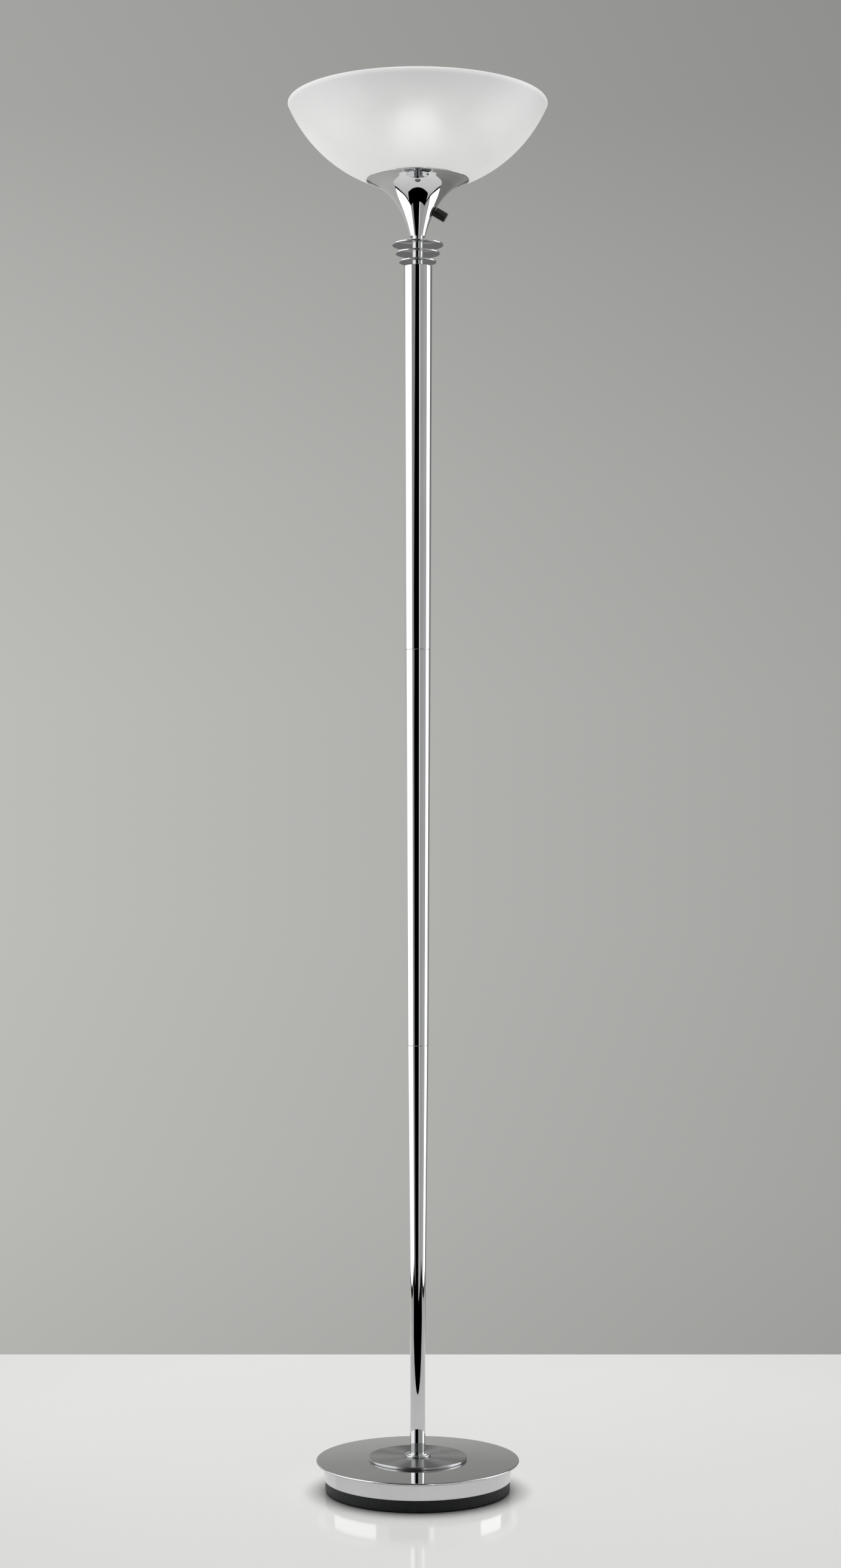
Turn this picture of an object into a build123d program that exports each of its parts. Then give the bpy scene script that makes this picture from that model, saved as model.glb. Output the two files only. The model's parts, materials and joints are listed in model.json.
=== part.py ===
from build123d import *
import math
import os

# Torchiere floor lamp. Millimetres, +Z up, origin at the middle of the base, on the floor.
# +X is the side of the switch knob, and +Y is the back, where the mains inlet is.

# Driving dimensions: base
foot_radius = 121.5
foot_height = 16.0
foot_wall = 7.5
foot_floor = 2.5
foot_recess = 2.0
access_radius = 20.0
drum_radius = 123.25
drum_height = 22.0
drum_bead = 1.5
drum_flange_radius = 112.0
drum_sheet = 1.2
plate_radius = 133.75
plate_skin = 1.5
weight_radius = 116.0
weight_thickness = 14.0
centre_disc_radius = 65.0
centre_disc_thickness = 4.0
collar_radius = 17.0
collar_height = 4.6
screw_circle = 80.0
screw_count = 4
inlet_height = 10.0
inlet_bore = 3.2
inlet_hole = 4.45

# Driving dimensions: pole, as heights from the floor and outer radii
pole_foot_radius = 10.0
taper_start = 215.0
lower_joint = 586.5
lower_joint_radius = 14.25
upper_joint = 1108.0
upper_joint_radius = 17.0
pole_top = 1613.0
pole_top_radius = 19.25
pole_wall = 1.2
insert_length = 20.0

# Driving dimensions: neck
neck_disc_radii = (25.0, 29.5, 34.0)
neck_disc_thickness = 2.2
neck_disc_pitch = 11.2
first_disc_height = 1618.4
spacer_radius = 7.0
spacer_bead = 1.2
spacer_bead_height = 2.2

# Driving dimensions: funnel, as (radius, height above its foot) along its outside
funnel_foot = 1652.6
funnel_flare = ((10.0, 0.0), (12.2, 7.4), (15.2, 16.8), (20.0, 28.4), (27.0, 41.3),
                (36.0, 53.1), (48.0, 64.0), (60.0, 70.7), (67.6, 74.0))
funnel_sheet = 1.0
funnel_floor = 1.6

# Driving dimensions: glass bowl
total_height = 1829.0
bowl_rim_radius = 172.5
bowl_bottom = 1715.5
bowl_wall = 4.5
bowl_hole = 21.0
gasket_radius = 56.0
gasket_section = 0.6

# Driving dimensions: lamp holder and bulb
holder_floor = 1707.5
holder_radius = 17.4
holder_height = 31.0
holder_cap = 6.0
shell_radius = 13.3
bulb_contact_height = 1711.5
bulb_centre = 1795.0
bulb_radius = 31.0
bulb_wall = 0.8
bulb_cap_radius = 13.05
bulb_cap_height = 25.0
shade_ring_radius = 27.0
shade_ring_height = 6.0
bracket_strap = 1.6
bracket_width = 14.0
bracket_half_span = 10.0
bracket_radius = 10.8

# Driving dimensions: rotary switch, whose axis points out of the funnel and down
knob_tilt = 30.0
knob_wall_point = (22.4, 0.0, 1685.8)
knob_radius = 6.35
knob_length = 16.6
knob_gap = 0.6
knob_flutes = 20
knob_flute_radius = 0.55
knob_recess_radius = 5.2
knob_recess_depth = 4.8
shaft_radius = 2.0
shaft_clearance = 0.05
bushing_radius = 3.5
switch_radius = 6.5
switch_depth = 10.0
switch_setback = 2.6
terminal_offset = 3.0

# Driving dimensions: threaded lamp pipe and its nuts
pipe_radius = 5.0
pipe_bore = 3.6
pipe_clearance = 0.15
nut_flats = 14.0
nut_height = 4.8
base_nut_flats = 17.0
base_nut_height = 7.0
washer_thickness = 1.5
lead_radius = 0.8
lead_end_gap = 0.02
terminal_run = 2.4
splice_top = 1684.0

# Heights worked out from the stack
drum_top = foot_height + drum_height
plate_hem = drum_top + plate_skin
plate_top = plate_hem + plate_skin
pole_foot = plate_top + centre_disc_thickness
weight_bottom = foot_height + drum_sheet
holder_cap_bottom = holder_floor - holder_cap
bracket_bottom = funnel_foot + funnel_floor + nut_height
pipe_hole = pipe_radius + pipe_clearance
switch_back = -switch_setback - 1 - switch_depth

# The bowl is part of a sphere that passes through its rim and its lowest point
rim_rise = total_height - bowl_bottom
bowl_radius = (bowl_rim_radius ** 2 + rim_rise ** 2) / (2 * rim_rise)
bowl_centre = bowl_bottom + bowl_radius

pole_stations = ((pole_foot, pole_foot_radius), (taper_start, pole_foot_radius),
                 (lower_joint, lower_joint_radius), (upper_joint, upper_joint_radius),
                 (pole_top, pole_top_radius))
knob_direction = Vector(math.cos(math.radians(knob_tilt)), 0, -math.sin(math.radians(knob_tilt)))
knob_frame = Plane(origin=knob_wall_point, x_dir=(0, 1, 0), z_dir=knob_direction)


def lathe(*corners):
    """Solid turned about Z. Each corner is (radius, height) or (radius, height, rounding)."""
    points = [(corner[0], 0, corner[1]) for corner in corners]
    roundings = [corner[2] if len(corner) == 3 else 0 for corner in corners]
    outline = FilletPolyline(*points, radius=roundings, close=True)
    return revolve(make_face(outline.edges()), Axis.Z)


def tube(outer, inner, low, high, rounding=0):
    """Plain ring about Z, with its outer edges rounded."""
    return lathe((inner, low), (outer, low, rounding), (outer, high, rounding), (inner, high))


def hex_nut(flats, bore, low, height):
    """Hexagon nut about Z, with its corners turned off at a slope and a flat facing +X."""
    corner_radius = flats / math.sqrt(3)
    blank = extrude(RegularPolygon(flats / 2, 6, major_radius=False), height)
    blank = Pos(0, 0, low) * Rot(0, 0, 30) * blank
    crown = tube(corner_radius, bore, low, low + height, 0.12 * flats)
    return blank & crown


def threaded_pipe(low, high):
    """Length of threaded lamp pipe, with chamfered ends."""
    lead_in = 0.6
    return lathe((pipe_bore, low), (pipe_radius - lead_in, low), (pipe_radius, low + lead_in),
                 (pipe_radius, high - lead_in), (pipe_radius - lead_in, high), (pipe_bore, high))


def on_knob_axis(shape):
    """Places a shape that is made about Z, with the funnel's wall at zero, on the knob's axis."""
    return knob_frame.location * shape


# Base

def foot_pan():
    """Black moulded pan that closes the base and stands on its rim."""
    floor_top = foot_recess + foot_floor
    inner_radius = foot_radius - foot_wall
    pan = lathe((access_radius, foot_recess), (inner_radius - 2, foot_recess), (inner_radius - 2, 0, 0.6),
                (foot_radius, 0, 3.0), (foot_radius, foot_height, 0.5), (inner_radius, foot_height),
                (inner_radius, floor_top), (access_radius, floor_top))
    boss_radius = 7.0
    boss_height = weight_bottom - floor_top
    for place in PolarLocations(screw_circle, screw_count, 45):
        pan += place * Pos(0, 0, floor_top + boss_height / 2) * Cylinder(boss_radius, boss_height)
    for place in PolarLocations(screw_circle, screw_count, 45):
        pan -= place * Pos(0, 0, foot_recess) * Cylinder(4.6, 12)
        pan -= place * Pos(0, 0, weight_bottom / 2) * Cylinder(2.3, weight_bottom + 2)
    inlet = Pos(0, foot_radius - foot_wall / 2, inlet_height) * Rot(90, 0, 0)
    return pan - inlet * Cylinder(inlet_hole, 2 * foot_wall)


def pan_screws():
    """Pan-head screws that hold the pan up against the weight."""
    head_bottom = 5.6
    head_top = 8.0
    tip = weight_bottom + 9
    screw = lathe((0, head_bottom), (4.0, head_bottom, 1.0), (4.0, head_top), (2.0, head_top),
                  (2.0, tip - 1), (1.2, tip), (0, tip))
    slot = Pos(0, 0, head_bottom) * (Box(5, 1, 2) + Box(1, 5, 2))
    return [place * (screw - slot) for place in PolarLocations(screw_circle, screw_count, 45)]


def base_weight():
    """Cast-iron weight: a disc with a boss and a raised rim that carry the top plate."""
    web_top = weight_bottom + weight_thickness
    casting = lathe((pipe_hole, weight_bottom), (weight_radius, weight_bottom, 1.0),
                    (weight_radius, plate_hem, 1.5), (weight_radius - 8, plate_hem, 1.5),
                    (weight_radius - 10, web_top, 3.0), (26, web_top, 3.0), (22, plate_hem, 1.0),
                    (pipe_hole, plate_hem))
    for place in PolarLocations(screw_circle, screw_count, 45):
        casting -= place * Pos(0, 0, weight_bottom + 5) * Cylinder(2.05, 12)
    return casting


def base_drum():
    """Bright band round the base, with a beaded top edge and a flange turned in below."""
    inner = drum_radius - drum_sheet
    bead_bottom = drum_top - 2.6
    return lathe((drum_flange_radius, foot_height), (drum_radius, foot_height, 1.0),
                 (drum_radius, bead_bottom, 0.3), (drum_radius + drum_bead, bead_bottom + 0.7, 0.6),
                 (drum_radius + drum_bead, drum_top, 0.4), (inner, drum_top),
                 (inner, weight_bottom, 0.5), (drum_flange_radius, weight_bottom))


def base_top_plate():
    """Polished plate that overhangs the drum, with its rim folded under."""
    hem_inner = drum_radius - drum_sheet
    edge = plate_skin - 0.05
    return lathe((pipe_hole, plate_hem), (hem_inner, plate_hem), (hem_inner, drum_top),
                 (plate_radius, drum_top, edge), (plate_radius, plate_top, edge), (pipe_hole, plate_top))


def centre_disc():
    """Turned disc under the pole."""
    return tube(centre_disc_radius, pipe_hole, plate_top, pole_foot, 1.6)


def pole_collar():
    """Stepped ring round the foot of the pole."""
    inner = pole_foot_radius + pipe_clearance
    step = 1.4
    top = pole_foot + collar_height
    return lathe((inner, pole_foot), (collar_radius, pole_foot, 0.8),
                 (collar_radius, top - step, 1.3), (collar_radius - 3.2, top - step, 0.3),
                 (collar_radius - 3.4, top, 0.8), (inner, top))


def cord_grommet():
    """Bush that lines the mains inlet at the back of the pan, made about Z and then turned."""
    outside = foot_radius
    inside = foot_radius - foot_wall - 0.3
    sleeve = inlet_hole - 0.05
    inner_lip = 5.3
    outer_lip = 5.9
    lip = 1.2
    bush = lathe((inlet_bore, inside - lip), (inner_lip, inside - lip, 0.4), (inner_lip, inside),
                 (sleeve, inside), (sleeve, outside), (outer_lip, outside),
                 (outer_lip, outside + lip, 0.5), (inlet_bore, outside + lip))
    return Pos(0, 0, inlet_height) * Rot(-90, 0, 0) * bush


# Pole

def pole_radius(height):
    """Outer radius of the pole at a height."""
    for (low, low_radius), (high, high_radius) in zip(pole_stations, pole_stations[1:]):
        if height <= high:
            return low_radius + (high_radius - low_radius) * (height - low) / (high - low)
    return pole_top_radius


def pole_section(low, high):
    """Tapered tube between two heights, with softened ends that show as a hairline at a joint."""
    heights = [low] + [height for height, radius in pole_stations if low < height < high] + [high]
    softening = 0.6
    outside = []
    for height in heights:
        rounding = softening if height in (low, high) else 0
        outside.append((pole_radius(height), height, rounding))
    inside = [(pole_radius(height) - pole_wall, height) for height in reversed(heights)]
    return lathe(*outside, *inside)


def pole_insert(low, high):
    """Threaded plug pressed into the end of a pole section."""
    slip = 0.05
    return lathe((pipe_hole, low), (pole_radius(low) - pole_wall - slip, low),
                 (pole_radius(high) - pole_wall - slip, high), (pipe_hole, high))


# Neck

def neck_disc(index):
    """One of the three thin fins below the funnel, counted from the lowest."""
    low = first_disc_height + index * neck_disc_pitch
    return tube(neck_disc_radii[index], pipe_hole, low, low + neck_disc_thickness, 1.0)


def neck_spacer(low, high):
    """Sleeve between fins, with a bead round its foot."""
    bead_radius = spacer_radius + spacer_bead
    bead_top = low + spacer_bead_height
    return lathe((pipe_hole, low), (bead_radius, low, 0.9), (bead_radius, bead_top, 0.9),
                 (spacer_radius, bead_top), (spacer_radius, high), (pipe_hole, high))


# Head

def funnel():
    """Spun trumpet with a flat floor and a rounded rim, bored for the switch bushing."""
    outer_points = [Vector(radius, 0, funnel_foot + rise) for radius, rise in funnel_flare]
    outer = Spline(*outer_points, tangents=[(0.25, 0, 1), (1, 0, 0.4)], tangent_scalars=[0.6, 0.6])
    inner_points = []
    for step in range(len(outer_points)):
        place = step / (len(outer_points) - 1)
        tangent = outer % place
        inner_points.append(outer @ place + Vector(-tangent.Z, 0, tangent.X) * funnel_sheet)
    inner = Spline(*reversed(inner_points))
    lip_direction = outer % 1
    lip_middle = (outer @ 1 + inner @ 0) * 0.5 + lip_direction * (funnel_sheet / 2)
    lip = ThreePointArc(outer @ 1, lip_middle, inner @ 0)
    inside_foot = inner @ 1
    floor_top = funnel_foot + funnel_floor
    floor = Polyline((inside_foot.X, 0, inside_foot.Z), (inside_foot.X, 0, floor_top),
                     (pipe_hole, 0, floor_top), (pipe_hole, 0, funnel_foot), outer @ 0)
    shell = revolve(make_face([*outer.edges(), *lip.edges(), *inner.edges(), *floor.edges()]), Axis.Z)
    return shell - on_knob_axis(Cylinder(bushing_radius + 0.1, 10))


def arc_about_centre(radius, first_radius, last_radius, centre_height):
    """Arc of a sphere's section, centred on the axis, from one distance off the axis to another."""
    middle_radius = (first_radius + last_radius) / 2
    places = []
    for off_axis in (first_radius, middle_radius, last_radius):
        places.append((off_axis, 0, centre_height - math.sqrt(radius ** 2 - off_axis ** 2)))
    return ThreePointArc(*places)


def glass_bowl():
    """Blown glass bowl with a fitter hole and a fire-polished rim."""
    middle_radius = bowl_radius - bowl_wall / 2
    half_wall = bowl_wall / 2
    rim_height = total_height - half_wall
    rim_angle = math.acos((bowl_centre - rim_height) / middle_radius)
    across = Vector(math.sin(rim_angle), 0, -math.cos(rim_angle))
    upward = Vector(math.cos(rim_angle), 0, math.sin(rim_angle))
    rim_middle = Vector(0, 0, bowl_centre) + across * middle_radius
    rim_outside = rim_middle + across * half_wall
    rim_inside = rim_middle - across * half_wall
    outer = arc_about_centre(bowl_radius, bowl_hole, rim_outside.X, bowl_centre)
    inner = arc_about_centre(bowl_radius - bowl_wall, rim_inside.X, bowl_hole, bowl_centre)
    rim = ThreePointArc(rim_outside, rim_middle + upward * half_wall, rim_inside)
    hole = Line(inner @ 1, outer @ 0)
    outline = [*outer.edges(), *rim.edges(), *inner.edges(), *hole.edges()]
    return revolve(make_face(outline), Axis.Z)


def glass_gasket():
    """Soft ring between the funnel and the glass."""
    seat = bowl_centre - math.sqrt((bowl_radius + gasket_section + 0.05) ** 2 - gasket_radius ** 2)
    return Pos(0, 0, seat) * Torus(gasket_radius, gasket_section)


def glass_inside(off_axis):
    """Height of the bowl's inner face at a distance off the axis."""
    return bowl_centre - math.sqrt((bowl_radius - bowl_wall) ** 2 - off_axis ** 2)


def shade_ring(low):
    """Ring nut on the holder's outside thread that clamps the glass, with grip notches."""
    high = low + shade_ring_height
    inner = holder_radius + 0.1
    ring = lathe((inner, low), (shade_ring_radius, low, 0.6), (shade_ring_radius, low + 2.5, 0.8),
                 (inner + 4, low + 3.2, 0.5), (inner + 3.5, high, 0.8), (inner, high))
    for place in PolarLocations(shade_ring_radius + 1.2, 16):
        ring -= place * Pos(0, 0, low) * Cylinder(2.0, 3 * shade_ring_height)
    return ring


def holder_bracket():
    """Strap frame that carries the lamp holder above the neck pipe."""
    height = holder_cap_bottom - bracket_bottom
    middle = bracket_bottom + height / 2
    outside = Box(bracket_width, 2 * bracket_half_span, height)
    inside = Box(bracket_width + 2, 2 * (bracket_half_span - bracket_strap), height - 2 * bracket_strap)
    strap = Pos(0, 0, middle) * (outside - inside)
    strap &= Pos(0, 0, middle) * Cylinder(bracket_radius, height)
    return strap - Pos(0, 0, middle) * Cylinder(pipe_hole, height + 2)


def holder_body():
    """Moulded insulating cup that holds the screw shell."""
    floor_top = holder_floor + 2.4
    seat = floor_top + 4.1
    top = holder_floor + holder_height
    bore = shell_radius + 0.45
    return lathe((0, holder_floor), (holder_radius, holder_floor, 0.8), (holder_radius, top, 0.6),
                 (bore, top, 0.4), (bore, seat), (10.0, seat), (10.0, floor_top), (0, floor_top))


def screw_shell():
    """Brass shell with a rolled thread inside the holder."""
    low = holder_floor + 6.5
    high = holder_floor + holder_height - 1
    outer = shell_radius + 0.4
    return tube(outer, shell_radius, low, high)


def bulb_cap():
    """Metal screw cap of the bulb, open at the top and drawn in below."""
    low = bulb_contact_height + 3.2
    high = bulb_contact_height + bulb_cap_height
    inner = bulb_cap_radius - 0.4
    return lathe((inner, high), (bulb_cap_radius, high), (bulb_cap_radius, low + 2.8), (9.5, low),
                 (9.5, low + 0.7), (inner, low + 3.2))


def bulb_outline(shrink):
    """Half section of the bulb's envelope, moved inwards by a distance."""
    radius = bulb_radius - shrink
    neck_radius = bulb_cap_radius - 0.7 - shrink
    neck_foot = bulb_contact_height + bulb_cap_height - 3
    shoulder = math.radians(40)
    crown = Vector(0, 0, bulb_centre + radius)
    flank = Vector(radius, 0, bulb_centre)
    turn = Vector(radius * math.cos(shoulder), 0, bulb_centre - radius * math.sin(shoulder))
    globe = ThreePointArc(crown, flank, turn)
    neck = Spline(turn, (neck_radius, 0, neck_foot),
                  tangents=[(-math.sin(shoulder), 0, -math.cos(shoulder)), (0, 0, -1)])
    return globe, neck


def bulb_glass():
    """Frosted envelope of the bulb, open where it enters the cap."""
    globe, neck = bulb_outline(0)
    inner_globe, inner_neck = bulb_outline(bulb_wall)
    top = Line(inner_globe @ 0, globe @ 0)
    foot = Line(neck @ 1, inner_neck @ 1)
    outline = [part.edges()[0] for part in (top, globe, neck, foot, inner_neck, inner_globe)]
    return revolve(make_face(outline), Axis.Z)


def bulb_insulator():
    """Black glass button that closes the bottom of the bulb's cap."""
    low = bulb_contact_height + 1
    return lathe((0, low), (5.2, low), (9.4, low + 2.2), (9.4, low + 2.9), (0, low + 2.9))


def bulb_tip():
    """Solder contact at the bottom of the bulb."""
    low = bulb_contact_height
    return lathe((0, low), (4.0, low, 0.5), (4.6, low + 1), (0, low + 1))


def holder_contact():
    """Brass tab under the bulb, standing on the holder's floor."""
    floor_top = holder_floor + 2.4
    pad = lathe((0, floor_top + 0.8), (4.2, floor_top + 0.8), (4.2, bulb_contact_height),
                (0, bulb_contact_height))
    return pad + Pos(0, 0, floor_top + 0.4) * Box(6, 14, 0.8)


# Switch

def switch_housing():
    """Cup that holds the switch's contacts, closed at its inner end."""
    high = -switch_setback - 1
    wall = 0.8
    cup = lathe((0, switch_back), (switch_radius, switch_back, 0.6), (switch_radius, high),
                (switch_radius - wall, high), (switch_radius - wall, switch_back + wall),
                (0, switch_back + wall))
    return on_knob_axis(cup)


def switch_bushing():
    """Flanged threaded bush that passes through the funnel's wall and guides the shaft."""
    low = -switch_setback - 1
    bore = shaft_radius + shaft_clearance
    bush = lathe((bore, low), (switch_radius, low), (switch_radius, -switch_setback, 0.4),
                 (bushing_radius, -switch_setback), (bushing_radius, 4.6, 0.4), (bore, 4.6))
    return on_knob_axis(bush)


def switch_rotor():
    """Insulating cam that turns with the shaft inside the switch."""
    low = -switch_setback - 8
    cam = tube(5.2, shaft_radius, low, low + 4, 0.3)
    for place in PolarLocations(5.2, 4):
        cam -= place * Pos(0, 0, low + 2) * Cylinder(1.1, 6)
    return on_knob_axis(cam)


def knob_shaft():
    """Spindle from the switch's cam out into the knob."""
    low = -switch_setback - 9
    high = knob_gap + knob_length - 2.4
    spindle = lathe((0, low), (shaft_radius, low, 0.3), (shaft_radius, high, 0.3), (0, high))
    return on_knob_axis(spindle)


def knob():
    """Fluted metal knob, hollowed behind to clear the nut."""
    low = knob_gap
    high = knob_gap + knob_length
    recess = low + knob_recess_depth
    shaft_end = high - 2.4
    body = lathe((knob_recess_radius, low), (knob_radius, low, 0.4), (knob_radius, high, 0.8), (0, high),
                 (0, shaft_end), (shaft_radius, shaft_end), (shaft_radius, recess),
                 (knob_recess_radius, recess))
    for place in PolarLocations(knob_radius + 0.15, knob_flutes):
        body -= place * Pos(0, 0, (low + high) / 2) * Cylinder(knob_flute_radius, knob_length + 2)
    return on_knob_axis(body - set_screw_rod(1.5, knob_radius + 2))


def set_screw_rod(radius, length):
    """Rod across the knob, from its shaft outwards, made about the knob's own axis."""
    reach = length - shaft_radius
    middle = shaft_radius + reach / 2
    return Pos(-middle, 0, knob_gap + 9) * Rot(0, 90, 0) * Cylinder(radius, reach)


def knob_set_screw():
    """Grub screw that locks the knob to its shaft."""
    socket = Pos(-5.4, 0, knob_gap + 9) * Rot(0, 90, 0) * extrude(RegularPolygon(0.75, 6), 1.5)
    return on_knob_axis(set_screw_rod(1.45, 5.4) - socket)


# Leads inside the funnel

def lead(bend, *points):
    """Round insulated lead along straight runs joined by arcs of one radius."""
    path = FilletPolyline(*points, radius=bend)
    section = Plane(origin=path @ 0, z_dir=path % 0) * Circle(lead_radius)
    return sweep(section, path=path)


def terminal(side, distance):
    """Point behind one of the switch's terminals: side is 1 for the upper one and -1 for the lower."""
    off_axis = side * terminal_offset
    return knob_frame.from_local_coords(Vector(-terminal_offset, off_axis, switch_back - distance))


def splice_caps():
    """Crimp caps where the inside leads would meet the mains cord."""
    foot = splice_top - 14
    cap = lathe((0, foot), (3.2, foot, 0.6), (3.2, splice_top, 1.2), (0, splice_top))
    return [Pos(-8.5, side, 0) * cap for side in (-4.2, 4.2)]


def write(name, shape):
    """Writes one node, from a solid or a list of solids."""
    if isinstance(shape, list):
        shape = Compound(children=[solid for part in shape for solid in part.solids()])
    export_step(shape, f"parts/{name}.step")


os.makedirs("parts", exist_ok=True)

washer_bottom = weight_bottom - washer_thickness
pipe_reach = insert_length - 2
write("foot_pan", foot_pan())
write("pan_screws", pan_screws())
write("base_weight", base_weight())
write("base_drum", base_drum())
write("base_top_plate", base_top_plate())
write("centre_disc", centre_disc())
write("pole_collar", pole_collar())
write("cord_grommet", cord_grommet())
write("base_pipe", threaded_pipe(washer_bottom - base_nut_height - 2, pole_foot + pipe_reach))
write("base_washer", tube(12.0, pipe_hole, washer_bottom, weight_bottom, 0.2))
write("base_nut", hex_nut(base_nut_flats, pipe_hole, washer_bottom - base_nut_height, base_nut_height))

write("pole_lower", pole_section(pole_foot, lower_joint))
write("pole_middle", pole_section(lower_joint, upper_joint))
write("pole_upper", pole_section(upper_joint, pole_top))
write("pole_foot_insert", pole_insert(pole_foot, pole_foot + insert_length))
for joint_name, joint_height in (("lower_joint", lower_joint), ("upper_joint", upper_joint)):
    write(f"{joint_name}_socket", pole_insert(joint_height - insert_length, joint_height))
    write(f"{joint_name}_plug", pole_insert(joint_height, joint_height + insert_length))
    write(f"{joint_name}_pipe", threaded_pipe(joint_height - pipe_reach, joint_height + pipe_reach))
write("pole_top_insert", pole_insert(pole_top - insert_length, pole_top))

write("neck_pipe", threaded_pipe(pole_top - pipe_reach, bracket_bottom + 9))
spacer_foot = pole_top
for index, size in enumerate(("small", "medium", "large")):
    disc_bottom = first_disc_height + index * neck_disc_pitch
    write(f"neck_disc_{size}", neck_disc(index))
    write(f"neck_spacer_{index + 1}", neck_spacer(spacer_foot, disc_bottom))
    spacer_foot = disc_bottom + neck_disc_thickness
write("neck_spacer_4", neck_spacer(spacer_foot, funnel_foot))

write("funnel", funnel())
write("funnel_nut", hex_nut(nut_flats, pipe_hole, funnel_foot + funnel_floor, nut_height))
write("holder_bracket", holder_bracket())
write("bracket_nut", hex_nut(nut_flats, pipe_hole, bracket_bottom + bracket_strap, nut_height))
write("holder_pipe", threaded_pipe(holder_cap_bottom - 7, holder_floor - 0.2))
write("holder_pipe_nut",
      hex_nut(nut_flats, pipe_hole, holder_cap_bottom - bracket_strap - 4, 4))
write("holder_cap", tube(holder_radius, pipe_hole, holder_cap_bottom, holder_floor, 1.2))
write("holder_body", holder_body())
write("holder_contact", holder_contact())
write("screw_shell", screw_shell())
write("glass_gasket", glass_gasket())
write("glass_bowl", glass_bowl())
ring_washer_bottom = glass_inside(shade_ring_radius) + 0.05
write("ring_washer", tube(shade_ring_radius, holder_radius + 0.4, ring_washer_bottom,
                          ring_washer_bottom + washer_thickness, 0.3))
write("shade_ring", shade_ring(ring_washer_bottom + washer_thickness))
write("bulb_glass", bulb_glass())
write("bulb_cap", bulb_cap())
write("bulb_insulator", bulb_insulator())
write("bulb_tip", bulb_tip())

write("switch_housing", switch_housing())
write("switch_bushing", switch_bushing())
write("switch_nut", on_knob_axis(hex_nut(8.0, bushing_radius + 0.05, 0.45, 2.2)))
write("switch_rotor", switch_rotor())
write("knob_shaft", knob_shaft())
write("knob", knob())
write("knob_set_screw", knob_set_screw())
write("splice_caps", splice_caps())
live_foot = (8.8, -5.4, 1697.7)
write("neutral_lead", lead(2.2, (-8.5, 4.2, splice_top), (-8.5, 4.2, splice_top + 8),
                           (-10, 5.2, splice_top + 12), (-10, 5.2, holder_cap_bottom)))
write("feed_lead", lead(2.2, (-8.5, -4.2, splice_top), (-8.5, -4.2, splice_top + 5.5), (-2.6, -6.2, 1690),
                        terminal(-1, 2 * terminal_run), terminal(-1, lead_end_gap)))
write("live_lead", lead(1.3, terminal(1, lead_end_gap), terminal(1, terminal_run), live_foot,
                        (*live_foot[:2], holder_cap_bottom)))
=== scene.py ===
"""Torchiere floor lamp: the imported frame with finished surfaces, studio and camera. Metres."""

import json
import math

import bmesh
import bpy
from mathutils import Matrix, Vector


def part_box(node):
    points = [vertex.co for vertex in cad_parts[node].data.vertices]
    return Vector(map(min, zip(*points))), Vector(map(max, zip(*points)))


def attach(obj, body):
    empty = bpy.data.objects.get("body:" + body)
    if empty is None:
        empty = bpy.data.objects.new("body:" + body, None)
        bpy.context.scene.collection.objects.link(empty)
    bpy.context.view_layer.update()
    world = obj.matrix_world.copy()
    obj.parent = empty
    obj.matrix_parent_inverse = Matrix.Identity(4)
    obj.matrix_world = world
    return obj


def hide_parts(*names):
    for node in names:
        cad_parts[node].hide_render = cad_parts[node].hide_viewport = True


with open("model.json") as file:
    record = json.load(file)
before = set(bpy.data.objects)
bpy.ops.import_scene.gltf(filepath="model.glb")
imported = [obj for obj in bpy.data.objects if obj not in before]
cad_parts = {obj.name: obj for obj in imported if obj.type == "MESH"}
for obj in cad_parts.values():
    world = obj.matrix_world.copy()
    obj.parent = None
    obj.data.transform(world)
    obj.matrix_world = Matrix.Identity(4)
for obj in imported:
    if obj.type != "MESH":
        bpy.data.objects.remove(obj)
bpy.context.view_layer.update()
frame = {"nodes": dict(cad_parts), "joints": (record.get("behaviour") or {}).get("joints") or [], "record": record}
nodes = frame["nodes"]
MM = 0.001

# How finely turned pieces are made, and how near to the axis a point counts as on it
SEGMENTS = 192
FINE_SEGMENTS = 256
SLEEVE_SEGMENTS = 96
HOLE_SEGMENTS = 48
ROUNDING_STEPS = 6
FLARE_STEPS = 8
LIP_STEPS = 6
BOWL_STEPS = 72
RIM_STEPS = 12
FLUTE_STEPS = 12
SHARP_ANGLE = math.radians(32)
ON_AXIS = 1e-7

# Sizes that a node's box doesn't give, as in the CAD source. The flare's (radius, rise) points are in mm.
POLE_FOOT_RADIUS = 10.0 * MM
POLE_TOP_RADIUS = {"pole_lower": 14.25 * MM, "pole_middle": 17.0 * MM, "pole_upper": 19.25 * MM}
TAPER_START = 215.0 * MM
POLE_WALL = 1.2 * MM
POLE_SOFTENING = 0.6 * MM
PIPE_HOLE = 5.15 * MM
FUNNEL_FLARE = ((10.0, 0.0), (12.2, 7.4), (15.2, 16.8), (20.0, 28.4), (27.0, 41.3),
                (36.0, 53.1), (48.0, 64.0), (60.0, 70.7), (67.6, 74.0))
FUNNEL_SHEET = 1.0 * MM
FUNNEL_FLOOR = 1.6 * MM
FUNNEL_CORNER = 0.2 * MM
BUSHING_HOLE = 3.6 * MM
BUSHING_HOLE_REACH = 6.0 * MM
BOWL_WALL = 4.5 * MM
BOWL_HOLE = 21.0 * MM
FIN_ROUNDING = 1.0 * MM
SPACER_RADIUS = 7.0 * MM
SPACER_BEAD_HEIGHT = 2.2 * MM
SPACER_BEAD_ROUNDING = 0.9 * MM
DRUM_SHEET = 1.2 * MM
DRUM_FLANGE_RADIUS = 112.0 * MM
DRUM_BEAD = 1.5 * MM
DRUM_BEAD_START = 2.6 * MM
DRUM_BEAD_FULL = 1.9 * MM
PLATE_SKIN = 1.5 * MM
PLATE_EDGE_ROUNDING = 1.45 * MM
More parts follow.
